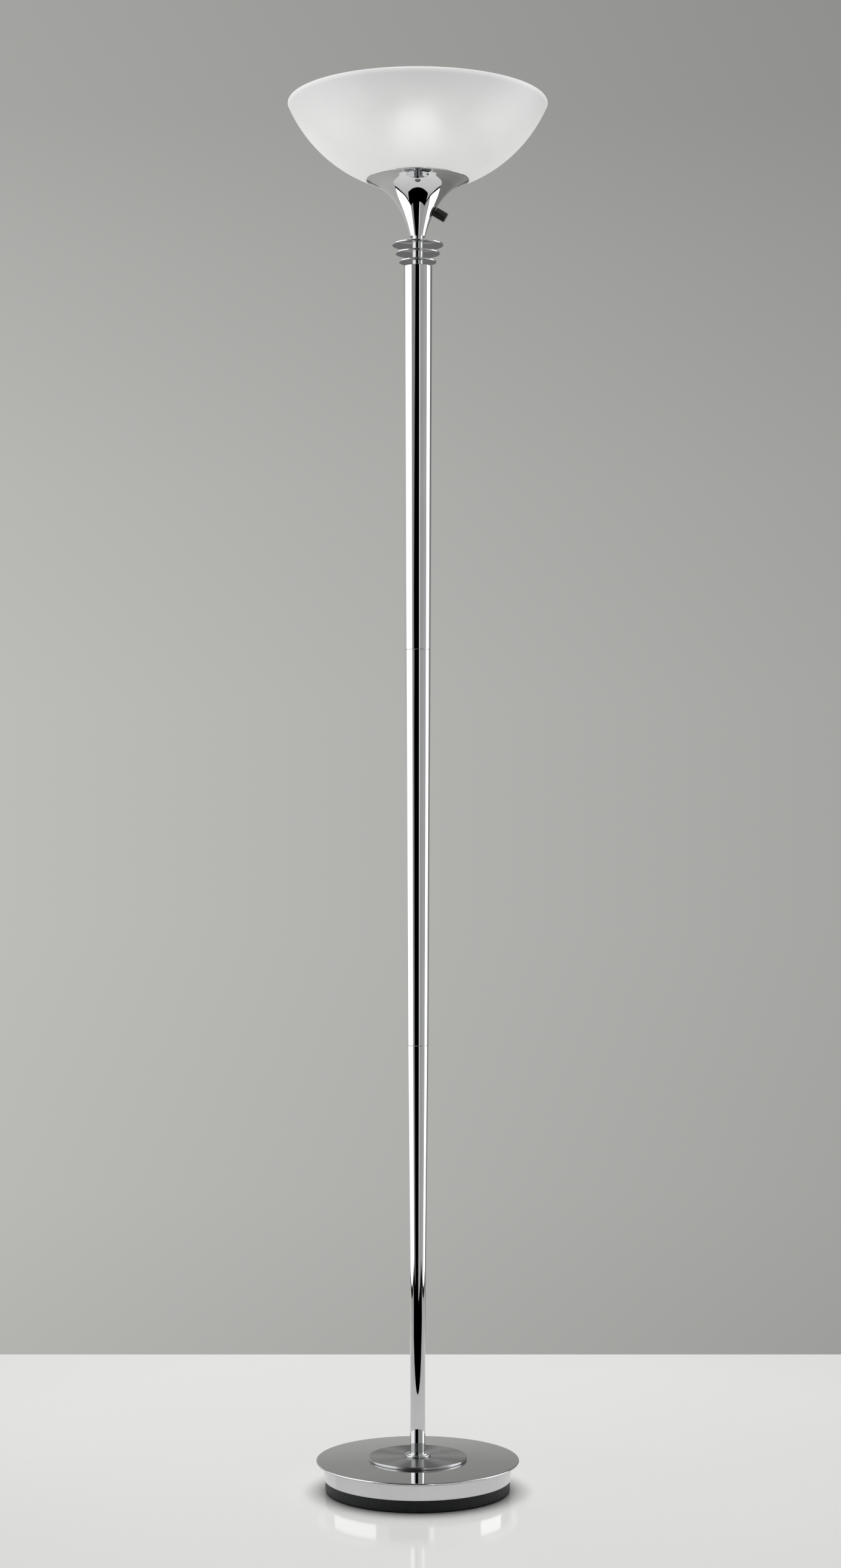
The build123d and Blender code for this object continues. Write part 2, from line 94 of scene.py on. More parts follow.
CENTRE_DISC_ROUNDING = 1.6 * MM
COLLAR_STEP = 1.4 * MM
COLLAR_LEDGE = 3.2 * MM
COLLAR_TOP_LEDGE = 3.4 * MM
COLLAR_CLEARANCE = 0.15 * MM
KNOB_RADIUS = 6.35 * MM
KNOB_GAP = 0.6 * MM
KNOB_LENGTH = 16.6 * MM
KNOB_FLUTES = 20
KNOB_FLUTE_DEPTH = 0.42 * MM
KNOB_FLUTE_SHARPNESS = 0.8
KNOB_RECESS_RADIUS = 5.2 * MM
KNOB_RECESS_DEPTH = 4.8 * MM
SHAFT_RADIUS = 2.0 * MM


def low(node):
    """Height of a node's lowest point."""
    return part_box(node)[0].z


def high(node):
    """Height of a node's highest point."""
    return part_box(node)[1].z


def reach(node):
    """Outer radius of a node turned about Z."""
    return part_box(node)[1].x


# Materials

def new_material(name):
    """Empty node material with a Principled shader, its node tree and that shader."""
    material = bpy.data.materials.new(name)
    material.use_nodes = True
    tree = material.node_tree
    shader = next(node for node in tree.nodes if node.type == "BSDF_PRINCIPLED")
    return material, tree, shader


def object_point(tree, scale=(1, 1, 1)):
    """Object coordinates, stretched."""
    coordinates = tree.nodes.new("ShaderNodeTexCoord")
    mapping = tree.nodes.new("ShaderNodeMapping")
    mapping.inputs["Scale"].default_value = scale
    tree.links.new(coordinates.outputs["Object"], mapping.inputs["Vector"])
    return mapping.outputs["Vector"]


def noise(tree, vector, scale, detail=3.0, roughness=0.5):
    """Noise texture's value."""
    texture = tree.nodes.new("ShaderNodeTexNoise")
    texture.inputs["Scale"].default_value = scale
    texture.inputs["Detail"].default_value = detail
    texture.inputs["Roughness"].default_value = roughness
    tree.links.new(vector, texture.inputs["Vector"])
    return texture.outputs["Fac"]


def ramp(tree, factor, stops):
    """Colour ramp through (place, colour) stops."""
    node = tree.nodes.new("ShaderNodeValToRGB")
    while len(node.color_ramp.elements) < len(stops):
        node.color_ramp.elements.new(0.5)
    for element, (place, color) in zip(node.color_ramp.elements, stops):
        element.position = place
        element.color = (*color, 1)
    tree.links.new(factor, node.inputs["Fac"])
    return node.outputs["Color"]


def spread(tree, factor, lowest, highest):
    """Map of a 0.3 to 0.7 noise onto a range."""
    node = tree.nodes.new("ShaderNodeMapRange")
    node.inputs["From Min"].default_value = 0.3
    node.inputs["From Max"].default_value = 0.7
    node.inputs["To Min"].default_value = lowest
    node.inputs["To Max"].default_value = highest
    tree.links.new(factor, node.inputs["Value"])
    return node.outputs["Result"]


def height_share(tree, node):
    """Height over a node, from 0 at its foot to 1 at its top."""
    split = tree.nodes.new("ShaderNodeSeparateXYZ")
    tree.links.new(object_point(tree), split.inputs["Vector"])
    rise = tree.nodes.new("ShaderNodeMapRange")
    rise.inputs["From Min"].default_value = low(node)
    rise.inputs["From Max"].default_value = high(node)
    tree.links.new(split.outputs["Z"], rise.inputs["Value"])
    return rise.outputs["Result"]


def bump(tree, shader, height, distance, strength=1.0):
    """Bump on a shader's normal, with its depth in metres."""
    node = tree.nodes.new("ShaderNodeBump")
    node.inputs["Distance"].default_value = distance
    node.inputs["Strength"].default_value = strength
    tree.links.new(height, node.inputs["Height"])
    tree.links.new(node.outputs["Normal"], shader.inputs["Normal"])


def shaded(base, variation):
    """Darker and lighter neighbours of a colour."""
    return tuple(c * (1 - variation) for c in base), tuple(min(1, c * (1 + variation)) for c in base)


def metal(name, base, roughness, grain=(60, 60, 60), depth=0.0, spread_of_roughness=0.3):
    """Metal whose gloss and colour drift a little over the surface."""
    material, tree, shader = new_material(name)
    point = object_point(tree, grain)
    cloud = noise(tree, point, 1.0, 4.0)
    dark, light = shaded(base, 0.035)
    tree.links.new(ramp(tree, cloud, ((0.35, dark), (0.65, light))), shader.inputs["Base Color"])
    varied = spread(tree, cloud, roughness * (1 - spread_of_roughness), roughness * (1 + spread_of_roughness))
    tree.links.new(varied, shader.inputs["Roughness"])
    shader.inputs["Metallic"].default_value = 1.0
    if depth:
        fine = noise(tree, point, 14.0, 2.0)
        bump(tree, shader, fine, depth)
    return material


def chrome():
    """Mirror chrome plate, with faint polishing haze."""
    return metal("chrome", (0.66, 0.665, 0.67), 0.028, (9, 9, 9), spread_of_roughness=0.5)


def turned_chrome():
    """Plated disc with its turning marks left in, so that it shines in radial streaks."""
    material, tree, shader = new_material("turned_chrome")
    coordinates = tree.nodes.new("ShaderNodeTexCoord")
    split = tree.nodes.new("ShaderNodeSeparateXYZ")
    tree.links.new(coordinates.outputs["Object"], split.inputs["Vector"])
    flat = tree.nodes.new("ShaderNodeCombineXYZ")
    tree.links.new(split.outputs["X"], flat.inputs["X"])
    tree.links.new(split.outputs["Y"], flat.inputs["Y"])
    off_axis = tree.nodes.new("ShaderNodeVectorMath")
    off_axis.operation = "LENGTH"
    tree.links.new(flat.outputs["Vector"], off_axis.inputs[0])
    radial = tree.nodes.new("ShaderNodeCombineXYZ")
    tree.links.new(off_axis.outputs["Value"], radial.inputs["X"])
    marks = noise(tree, radial.outputs["Vector"], 2600.0, 3.0, 0.65)
    bands = noise(tree, radial.outputs["Vector"], 240.0, 2.0)
    dark, light = (0.47, 0.473, 0.477), (0.53, 0.534, 0.538)
    tree.links.new(ramp(tree, bands, ((0.35, dark), (0.65, light))), shader.inputs["Base Color"])
    tree.links.new(spread(tree, bands, 0.30, 0.36), shader.inputs["Roughness"])
    shader.inputs["Metallic"].default_value = 1.0
    shader.inputs["Anisotropic"].default_value = 0.95
    shader.inputs["Anisotropic Rotation"].default_value = 0.25
    tangent = tree.nodes.new("ShaderNodeTangent")
    tangent.direction_type = "RADIAL"
    tangent.axis = "Z"
    tree.links.new(tangent.outputs["Tangent"], shader.inputs["Tangent"])
    bump(tree, shader, marks, 0.004 * MM, 0.5)
    return material


def moulded(name, base, roughness, grain, depth, specular=0.4):
    """Moulded plastic or rubber, with a fine texture and slight wear in its gloss."""
    material, tree, shader = new_material(name)
    point = object_point(tree)
    cloud = noise(tree, point, grain / 12, 3.0)
    fine = noise(tree, point, grain, 3.0, 0.6)
    dark, light = shaded(base, 0.22)
    tree.links.new(ramp(tree, cloud, ((0.35, dark), (0.65, light))), shader.inputs["Base Color"])
    tree.links.new(spread(tree, cloud, roughness * 0.88, roughness * 1.12), shader.inputs["Roughness"])
    shader.inputs["Specular IOR Level"].default_value = specular
    bump(tree, shader, fine, depth)
    return material


def opal_glass():
    """Frosted opal glass, lit from inside by the bulb: that light is painted as emission that changes with height,
    a painted glow with a darker band just under the rim and a painted highlight on the rim.
    """
    material, tree, shader = new_material("opal_glass")
    point = object_point(tree)
    cloud = noise(tree, point, 26.0, 3.0)
    fine = noise(tree, point, 1500.0, 2.0)
    tree.links.new(ramp(tree, cloud, ((0.3, (0.30, 0.302, 0.30)), (0.7, (0.33, 0.332, 0.33)))),
                   shader.inputs["Base Color"])
    tree.links.new(spread(tree, cloud, 0.34, 0.42), shader.inputs["Roughness"])
    # Painted glow by height: even up the wall, a painted darker band just under the rim, a painted bright rim
    glow = ((0.0, (0.90, 0.905, 0.89)), (0.55, (0.94, 0.945, 0.93)), (0.94, (0.76, 0.77, 0.76)),
            (0.975, (1.0, 1.0, 1.0)), (1.0, (1.0, 1.0, 1.0)))
    tree.links.new(ramp(tree, height_share(tree, "glass_bowl"), glow), shader.inputs["Emission Color"])
    shader.inputs["Emission Strength"].default_value = 0.43
    shader.inputs["Transmission Weight"].default_value = 0.3
    bump(tree, shader, fine, 0.02 * MM, 0.4)
    return material


def bulb_glass():
    """Inside-frosted envelope of a lit bulb, brightest round its middle."""
    material, tree, shader = new_material("bulb_glass")
    cloud = noise(tree, object_point(tree), 60.0, 2.0)
    tree.links.new(ramp(tree, cloud, ((0.3, (0.90, 0.90, 0.88)), (0.7, (0.95, 0.95, 0.94)))),
                   shader.inputs["Base Color"])
    glow = ((0.25, (0.04, 0.04, 0.036)), (0.6, (1.0, 0.98, 0.93)), (0.85, (1.0, 0.98, 0.93)),
            (1.0, (0.5, 0.49, 0.46)))
    tree.links.new(ramp(tree, height_share(tree, "bulb_glass"), glow), shader.inputs["Emission Color"])
    shader.inputs["Roughness"].default_value = 0.3
    shader.inputs["Emission Strength"].default_value = 9.0
    return material


materials = {
    "chrome": chrome(),
    "turned_chrome": turned_chrome(),
    "black_moulding": moulded("black_moulding", (0.011, 0.012, 0.013), 0.5, 1400, 0.05 * MM, 0.3),
    "casting": moulded("casting", (0.05, 0.05, 0.055), 0.75, 500, 0.25 * MM),
    "zinc_steel": metal("zinc_steel", (0.60, 0.61, 0.60), 0.28, (90, 90, 90), 0.01 * MM),
    "opal_glass": opal_glass(),
    "bulb_glass": bulb_glass(),
    "brass": metal("brass", (0.72, 0.52, 0.22), 0.24, (80, 80, 80), 0.006 * MM),
    "phenolic": moulded("phenolic", (0.014, 0.013, 0.012), 0.22, 900, 0.01 * MM, 0.6),
    "bulb_cap_metal": metal("bulb_cap_metal", (0.76, 0.76, 0.77), 0.26, (120, 120, 120), 0.008 * MM),
    "black_glass": moulded("black_glass", (0.012, 0.012, 0.014), 0.12, 300, 0.01 * MM, 0.5),
    "soft_seal": moulded("soft_seal", (0.50, 0.50, 0.49), 0.6, 700, 0.03 * MM),
    "fibre": moulded("fibre", (0.30, 0.25, 0.19), 0.7, 1200, 0.05 * MM),
    "lead_insulation": moulded("lead_insulation", (0.04, 0.04, 0.045), 0.42, 600, 0.02 * MM),
    "crimp_cap": moulded("crimp_cap", (0.66, 0.65, 0.60), 0.4, 600, 0.02 * MM),
    "black_rubber": moulded("black_rubber", (0.02, 0.02, 0.02), 0.7, 900, 0.04 * MM),
    "solder": metal("solder", (0.62, 0.62, 0.64), 0.4, (200, 200, 200), 0.02 * MM),
}


# Turned pieces

def finished_mesh(name, shape):
    """Mesh data from a bmesh, with its normals outward."""
    bmesh.ops.recalc_face_normals(shape, faces=shape.faces)
    mesh = bpy.data.meshes.new(name)
    shape.to_mesh(mesh)
    shape.free()
    return mesh


def rounded_outline(corners):
    """Points of a closed outline of (radius, height) or (radius, height, rounding) corners."""
    points = []
    count = len(corners)
    for index, corner in enumerate(corners):
        here = Vector(corner[:2])
        rounding = corner[2] if len(corner) == 3 else 0
        if not rounding:
            points.append(here)
            continue
        back = (Vector(corners[index - 1][:2]) - here).normalized()
        onward = (Vector(corners[(index + 1) % count][:2]) - here).normalized()
        half_angle = back.angle(onward) / 2
        centre = here + (back + onward).normalized() * (rounding / math.sin(half_angle))
        start = here + back * (rounding / math.tan(half_angle)) - centre
        end = here + onward * (rounding / math.tan(half_angle)) - centre
        sweep = start.angle(end)
        for step in range(ROUNDING_STEPS + 1):
            share = step / ROUNDING_STEPS
            first = math.sin((1 - share) * sweep) / math.sin(sweep)
            second = math.sin(share * sweep) / math.sin(sweep)
            points.append(centre + start * first + end * second)
    return points


def turned_mesh(name, outline, segments=SEGMENTS):
    """Closed mesh made by turning a closed outline about Z."""
    shape = bmesh.new()
    rings = []
    for radius, height in outline:
        if radius < ON_AXIS:
            rings.append([shape.verts.new((0, 0, height))])
            continue
        ring = []
        for step in range(segments):
            angle = 2 * math.pi * step / segments
            ring.append(shape.verts.new((radius * math.cos(angle), radius * math.sin(angle), height)))
        rings.append(ring)
    for index, ring in enumerate(rings):
        following = rings[(index + 1) % len(rings)]
        if len(ring) == 1 and len(following) == 1:
            continue
        for step in range(segments):
            after = (step + 1) % segments
            corners = [ring[step % len(ring)], ring[after % len(ring)],
                       following[after % len(following)], following[step % len(following)]]
            shape.faces.new(list(dict.fromkeys(corners)))
    return finished_mesh(name, shape)


def add_piece(name, mesh, slot, body, *replaced):
    """Links a mesh as a piece that rides on a body and stands for CAD nodes."""
    mesh.polygons.foreach_set("use_smooth", [True] * len(mesh.polygons))
    mesh.set_sharp_from_angle(angle=SHARP_ANGLE)
    mesh.materials.append(materials[slot])
    piece = bpy.data.objects.new(name, mesh)
    bpy.context.scene.collection.objects.link(piece)
    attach(piece, body)
    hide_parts(*replaced)
    return piece


def turned_piece(node, slot, corners, segments=SEGMENTS):
    """Turned piece that stands for one CAD node on the lamp."""
    mesh = turned_mesh(node + "_turned", rounded_outline(corners), segments)
    add_piece(node + "_turned", mesh, slot, "lamp", node)


def ring_corners(node, inner, rounding):
    """Outline of a plain ring with its outer edges rounded, as tall and wide as a node."""
    outer = reach(node)
    return [(inner, low(node)), (outer, low(node), rounding), (outer, high(node), rounding),
            (inner, high(node))]


def smooth_curve(points, steps):
    """Points along a cubic curve through the given ones."""
    spots = [Vector(point) for point in points]
    tangents = []
    for index in range(len(spots)):
        before = spots[max(index - 1, 0)]
        after = spots[min(index + 1, len(spots) - 1)]
        span = (spots[index] - before).length + (after - spots[index]).length
        tangents.append((after - before) / span)
    curve = []
    for index in range(len(spots) - 1):
        length = (spots[index + 1] - spots[index]).length
        for step in range(steps):
            t = step / steps
            curve.append(spots[index] * (2 * t ** 3 - 3 * t ** 2 + 1)
                         + tangents[index] * length * (t ** 3 - 2 * t ** 2 + t)
                         + spots[index + 1] * (3 * t ** 2 - 2 * t ** 3)
                         + tangents[index + 1] * length * (t ** 3 - t ** 2))
    curve.append(spots[-1])
    return curve


def offset_curve(curve, distance):
    """Curve moved sideways, to the left of its direction."""
    moved = []
    for index, spot in enumerate(curve):
        before = curve[max(index - 1, 0)]
        after = curve[min(index + 1, len(curve) - 1)]
        along = (after - before).normalized()
        moved.append(spot + Vector((-along.y, along.x)) * distance)
    return moved


# Base

def build_base():
    """Drum, top plate, centre disc and collar. The foot stays as the CAD node."""
    bottom, top = low("base_drum"), high("base_drum")
    bead = reach("base_drum")
    band = bead - DRUM_BEAD
    band_inside = band - DRUM_SHEET
    turned_piece("base_drum", "chrome", [
        (DRUM_FLANGE_RADIUS, bottom), (band, bottom, 1.0 * MM),
        (band, top - DRUM_BEAD_START, 0.3 * MM), (bead, top - DRUM_BEAD_FULL, 0.6 * MM),
        (bead, top, 0.4 * MM),
        (band_inside, top), (band_inside, bottom + DRUM_SHEET, 0.5 * MM),
        (DRUM_FLANGE_RADIUS, bottom + DRUM_SHEET),
    ])
    plate = reach("base_top_plate")
    bottom, top = low("base_top_plate"), high("base_top_plate")
    turned_piece("base_top_plate", "chrome", [
        (PIPE_HOLE, top - PLATE_SKIN), (band_inside, top - PLATE_SKIN), (band_inside, bottom),
        (plate, bottom, PLATE_EDGE_ROUNDING), (plate, top, PLATE_EDGE_ROUNDING), (PIPE_HOLE, top),
    ])
    turned_piece("centre_disc", "turned_chrome", ring_corners("centre_disc", PIPE_HOLE, CENTRE_DISC_ROUNDING))
    collar = reach("pole_collar")
    bottom, top = low("pole_collar"), high("pole_collar")
    hole = POLE_FOOT_RADIUS + COLLAR_CLEARANCE
    turned_piece("pole_collar", "chrome", [
        (hole, bottom), (collar, bottom, 0.8 * MM), (collar, top - COLLAR_STEP, 1.3 * MM),
        (collar - COLLAR_LEDGE, top - COLLAR_STEP, 0.3 * MM), (collar - COLLAR_TOP_LEDGE, top, 0.8 * MM),
        (hole, top),
    ])


# Pole

def build_pole():
    """Three tapered sections with softened ends, which leave a hairline at each joint."""
    below = POLE_FOOT_RADIUS
    for node, widest in POLE_TOP_RADIUS.items():
        bottom, top = low(node), high(node)
        outside = [(below, bottom, POLE_SOFTENING)]
        inside = [(below - POLE_WALL, bottom)]
        if node == "pole_lower":
            outside.append((below, TAPER_START))
            inside.append((below - POLE_WALL, TAPER_START))
        outside.append((widest, top, POLE_SOFTENING))
        inside.append((widest - POLE_WALL, top))
        turned_piece(node, "chrome", outside + inside[::-1])
        below = widest


# Neck and funnel

def build_neck():
    """Thin fins and the beaded sleeves between them."""
    for size in ("small", "medium", "large"):
        turned_piece("neck_disc_" + size, "chrome",
                     ring_corners("neck_disc_" + size, PIPE_HOLE, FIN_ROUNDING))
    for number in range(1, 5):
        node = f"neck_spacer_{number}"
        bead = reach(node)
        bead_top = low(node) + SPACER_BEAD_HEIGHT
        turned_piece(node, "chrome", [
            (PIPE_HOLE, low(node)), (bead, low(node), SPACER_BEAD_ROUNDING),
            (bead, bead_top, SPACER_BEAD_ROUNDING), (SPACER_RADIUS, bead_top, 0.2 * MM),
            (SPACER_RADIUS, high(node)), (PIPE_HOLE, high(node)),
        ], SLEEVE_SEGMENTS)


def build_funnel():
    """Spun trumpet with a rounded rim. Its switch hole is cut by a boolean."""
    foot = low("funnel")
    outer = smooth_curve([(radius * MM, foot + rise * MM) for radius, rise in FUNNEL_FLARE], FLARE_STEPS)
    inner = offset_curve(outer, FUNNEL_SHEET)
    inner = [spot for spot in inner if spot.y > foot + FUNNEL_FLOOR + FUNNEL_CORNER]
    along = (outer[-1] - outer[-2]).normalized()
    middle = (outer[-1] + inner[-1]) / 2
    lip = []
    for step in range(1, LIP_STEPS):
        angle = math.pi * step / LIP_STEPS
        across = (outer[-1] - middle) * math.cos(angle)
        lip.append(middle + across + along * (FUNNEL_SHEET / 2) * math.sin(angle))
    floor = [Vector((inner[0].x, foot + FUNNEL_FLOOR)), Vector((PIPE_HOLE, foot + FUNNEL_FLOOR)),
             Vector((PIPE_HOLE, foot))]
    mesh = turned_mesh("funnel_turned", outer + lip + inner[::-1] + floor, FINE_SEGMENTS)
    piece = add_piece("funnel_turned", mesh, "chrome", "lamp", "funnel")
    cut_switch_hole(piece)


def cut_switch_hole(piece):
    """Bores the hole for the switch bushing through a piece, along the knob's axis."""
    cutter_mesh = turned_mesh("switch_hole", [
        (0, -BUSHING_HOLE_REACH), (BUSHING_HOLE, -BUSHING_HOLE_REACH),
        (BUSHING_HOLE, BUSHING_HOLE_REACH), (0, BUSHING_HOLE_REACH)], HOLE_SEGMENTS)
    cutter = bpy.data.objects.new("switch_hole", cutter_mesh)
    bpy.context.scene.collection.objects.link(cutter)
    cutter.matrix_world = knob_matrix()
    bpy.context.view_layer.update()
    modifier = piece.modifiers.new("switch_hole", "BOOLEAN")
    modifier.object = cutter
    modifier.solver = "EXACT"
    graph = bpy.context.evaluated_depsgraph_get()
    cut = bpy.data.meshes.new_from_object(piece.evaluated_get(graph))
    piece.modifiers.clear()
    piece.data = cut
    bpy.data.objects.remove(cutter)


# Bowl

def build_bowl():
    """Glass bowl: part of a sphere with a fitter hole and a fire-polished rim."""
    radius = bowl_radius()
    centre = bowl_bottom() + radius
    half_wall = BOWL_WALL / 2
    middle_radius = radius - half_wall
    rim_angle = math.acos((centre - high("glass_bowl") + half_wall) / middle_radius)
    hole_angle = math.asin(BOWL_HOLE / radius)
    outer, inner = [], []
    for step in range(BOWL_STEPS + 1):
        angle = hole_angle + (rim_angle - hole_angle) * step / BOWL_STEPS
        across = Vector((math.sin(angle), -math.cos(angle)))
        outer.append(Vector((0, centre)) + across * radius)
        inner.append(Vector((0, centre)) + across * (radius - BOWL_WALL))
    rim_middle = (outer[-1] + inner[-1]) / 2
    outward = (outer[-1] - inner[-1]).normalized()
    upward = Vector((-outward.y, outward.x))
    rim = []
    for step in range(1, RIM_STEPS):
        angle = math.pi * step / RIM_STEPS
        rim.append(rim_middle + (outward * math.cos(angle) + upward * math.sin(angle)) * half_wall)
    mesh = turned_mesh("glass_bowl_turned", outer + rim + inner[::-1], FINE_SEGMENTS)
    add_piece("glass_bowl_turned", mesh, "opal_glass", "lamp", "glass_bowl")


def bowl_bottom():
    """Height of the sphere's lowest point, which the fitter hole cuts away."""
    radius = bowl_radius()
    edge = low("glass_bowl")
    return edge + math.sqrt(radius ** 2 - BOWL_HOLE ** 2) - radius


def bowl_radius():
    """Radius of the sphere through the fitter hole's edge and the rim's outside."""
    edge = low("glass_bowl")
    rim_height = high("glass_bowl") - BOWL_WALL / 2
    rim_radius = reach("glass_bowl")
    rise = rim_height - edge
    drop = (rim_radius ** 2 + rise ** 2 - BOWL_HOLE ** 2) / (2 * rise)
    return math.sqrt(drop ** 2 + BOWL_HOLE ** 2)


# Knob

def knob_matrix():
    """Place of a shape made about Z, with the funnel's wall at zero, on the knob's axis."""
    joint = frame["joints"][0]
    axis = Vector(joint["axis"]).normalized()
    side = Vector((0, 1, 0))
    rotation = Matrix((side, axis.cross(side), axis)).transposed()
    return Matrix.Translation(Vector(joint["pos_m"])) @ rotation.to_4x4()


def fluted_ring(radius, depth, height):
    """Points of a ring with rounded flutes round it."""
    ring = []
    count = KNOB_FLUTES * FLUTE_STEPS
    for step in range(count):
        angle = 2 * math.pi * step / count
        phase = (step % FLUTE_STEPS) / FLUTE_STEPS
        valley = max(0.0, math.cos(2 * math.pi * (phase - 0.5))) ** KNOB_FLUTE_SHARPNESS
        here = radius - depth * valley
        ring.append((here * math.cos(angle), here * math.sin(angle), height))
    return ring


def build_knob():
    """Fluted knob with a chamfered, dished end and a recess behind."""
    bottom, top = KNOB_GAP, KNOB_GAP + KNOB_LENGTH
    flute = KNOB_FLUTE_DEPTH
    recess = bottom + KNOB_RECESS_DEPTH
    stations = [
        (KNOB_RECESS_RADIUS, 0, bottom), (KNOB_RADIUS - 0.35 * MM, flute * 0.3, bottom),
        (KNOB_RADIUS, flute, bottom + 0.4 * MM), (KNOB_RADIUS, flute, top - 0.9 * MM),
        (KNOB_RADIUS - 0.3 * MM, flute * 0.6, top - 0.35 * MM), (KNOB_RADIUS - 0.95 * MM, 0, top),
        (KNOB_RADIUS - 1.5 * MM, 0, top), (KNOB_RADIUS - 1.8 * MM, 0, top - 0.25 * MM),
        (0.4 * MM, 0, top - 0.5 * MM),
    ]
    shape = bmesh.new()
    rings = [[shape.verts.new(point) for point in fluted_ring(*station)] for station in stations]
    inner = [(SHAFT_RADIUS, 0, recess), (KNOB_RECESS_RADIUS, 0, recess)]
    back_rings = [[shape.verts.new(point) for point in fluted_ring(*station)] for station in inner]
    loop = back_rings + rings
    for ring, following in zip(loop, loop[1:]):
        for step in range(len(ring)):
            after = (step + 1) % len(ring)
            shape.faces.new((ring[step], ring[after], following[after], following[step]))
    shape.faces.new(loop[0])
    shape.faces.new(loop[-1])
    mesh = finished_mesh("knob_fluted", shape)
    mesh.transform(knob_matrix())
    add_piece("knob_fluted", mesh, "phenolic", "knob", "knob")


def finish_cad_nodes():
    """Gives every CAD node its slot's material and smooth shading."""
    slots = {part["node"]: part["material_slot"] for part in frame["record"]["subparts"]}
    for name, node in nodes.items():
        node.data.materials.clear()
        node.data.materials.append(materials[slots[name]])
        node.data.polygons.foreach_set("use_smooth", [True] * len(node.data.polygons))
        node.data.set_sharp_from_angle(angle=SHARP_ANGLE)


# Studio: a white floor and a grey wall. Cards that the camera can't see give the lamp its reflections: a
# light at each side, a dark gap and a bright strip in front, and a dark card behind.

FLOOR_REACH = 7.0
FLOOR_BACK = 0.905
ROOM_SIDE = 1.62
ROOM_FRONT = -1.4
ROOM_TOP = 2.9

# The parts of the floor that look dark in reflections, as (x, y) corners, and how far they lie above it
DARK_NEAR = -0.45
DARK_FAR = ROOM_FRONT - 0.1
DARK_INNER = 1.45
DARK_LIFT = 0.2 * MM
DARK_AREAS = {
    "dark_front": ((-ROOM_SIDE, DARK_FAR), (ROOM_SIDE, DARK_FAR), (ROOM_SIDE, -1.0), (1.1, DARK_NEAR),
                   (-0.9, DARK_NEAR), (-ROOM_SIDE, -1.0)),
    "dark_left": ((-ROOM_SIDE, -1.0), (-DARK_INNER, -0.86), (-DARK_INNER, FLOOR_BACK),
                  (-ROOM_SIDE, FLOOR_BACK)),
    "dark_right": ((DARK_INNER, -0.8), (ROOM_SIDE, -1.0), (ROOM_SIDE, FLOOR_BACK), (DARK_INNER, FLOOR_BACK)),
}

# Cards that stand on the floor, from one (x, y) point to another, and their strength
UPRIGHT_CARDS = (
    ("light_left", (-ROOM_SIDE, 0.86), (-ROOM_SIDE, -1.36), 1.6),
    ("grey_left", (-ROOM_SIDE, -1.36), (-0.2, ROOM_FRONT), 0.33),
    ("grey_right_inner", (0.28, ROOM_FRONT), (0.36, ROOM_FRONT), 0.42),
    ("strip", (0.36, ROOM_FRONT), (0.47, ROOM_FRONT), 1.1),
    ("grey_right_front", (0.47, ROOM_FRONT), (ROOM_SIDE, ROOM_FRONT), 0.45),
    ("grey_right", (ROOM_SIDE, ROOM_FRONT), (ROOM_SIDE, -0.29), 0.50),
    ("light_right", (ROOM_SIDE, -0.29), (ROOM_SIDE, 0.9), 1.9),
)
BACKDROP_DISTANCE = 2.0
BACKDROP_HALF_WIDTH = 0.5
BACKDROP_BOTTOM = 1.0
BACKDROP_TOP = 1.6
BACKDROP_GREY = 0.17
GAP_IN_FRONT = 20 * MM
GAP_LEFT = -1.5
GAP_TOP_LEFT = -0.05
GAP_RIGHT = 0.28

# The wall's grey: its middle value, its change across, and its share at rising directions
WALL_GREY = 0.44
WALL_SLOPE = 0.40
WALL_REACH = 0.45
WALL_WARMTH = 0.965
LOWEST_DIRECTION = -0.2
CEILING_DIRECTION = 0.62
WALL_SHARES = ((0.0, 0.89), (0.08, 0.966), (0.2, 1.0), (0.3, 1.0), (0.4, 0.94), (0.5, 0.835), (0.56, 0.75),
               (0.7, 0.70), (1.0, 0.35))

# Lights overhead: name, power, depth, and whether it lights only the floor
OVERHEAD_LIGHTS = (("ceiling_light", 105, 3.2, False), ("floor_light", 112, 6.0, True))
OVERHEAD_WIDTH = 3.6
OVERHEAD_PLACE = (0, 0.6, 3.6)


def plane(name, corners, material):
    """Flat stage piece from its corners."""
    mesh = bpy.data.meshes.new(name)
    mesh.from_pydata([Vector(corner) for corner in corners], [], [range(len(corners))])
    mesh.materials.append(material)
    piece = bpy.data.objects.new(name, mesh)
    bpy.context.scene.collection.objects.link(piece)
    return piece


def floor_material(name, dark_in_reflections=False):
    """Glossy white floor, which may show as a dark room in the lamp's reflections."""
    material, tree, shader = new_material(name)
    cloud = noise(tree, object_point(tree), 1.5, 2.0)
    tree.links.new(ramp(tree, cloud, ((0.3, (0.80, 0.80, 0.79)), (0.7, (0.82, 0.82, 0.81)))),
                   shader.inputs["Base Color"])
    shader.inputs["Roughness"].default_value = 0.09
    shader.inputs["Specular IOR Level"].default_value = 0.25
    if dark_in_reflections:
        path = tree.nodes.new("ShaderNodeLightPath")
        dark = tree.nodes.new("ShaderNodeEmission")
        dark.inputs["Strength"].default_value = 0.0
        choice = tree.nodes.new("ShaderNodeMixShader")
        output = next(node for node in tree.nodes if node.type == "OUTPUT_MATERIAL")
        tree.links.new(path.outputs["Is Glossy Ray"], choice.inputs["Fac"])
        tree.links.new(shader.outputs["BSDF"], choice.inputs[1])
        tree.links.new(dark.outputs["Emission"], choice.inputs[2])
        tree.links.new(choice.outputs["Shader"], output.inputs["Surface"])
    return material


def card_material(name, strength):
    """Even light, or none, for a studio card."""
    material = bpy.data.materials.new(name)
    material.use_nodes = True
    tree = material.node_tree
    tree.nodes.clear()
    emission = tree.nodes.new("ShaderNodeEmission")
    emission.inputs["Strength"].default_value = strength
    output = tree.nodes.new("ShaderNodeOutputMaterial")
    tree.links.new(emission.outputs["Emission"], output.inputs["Surface"])
    return material


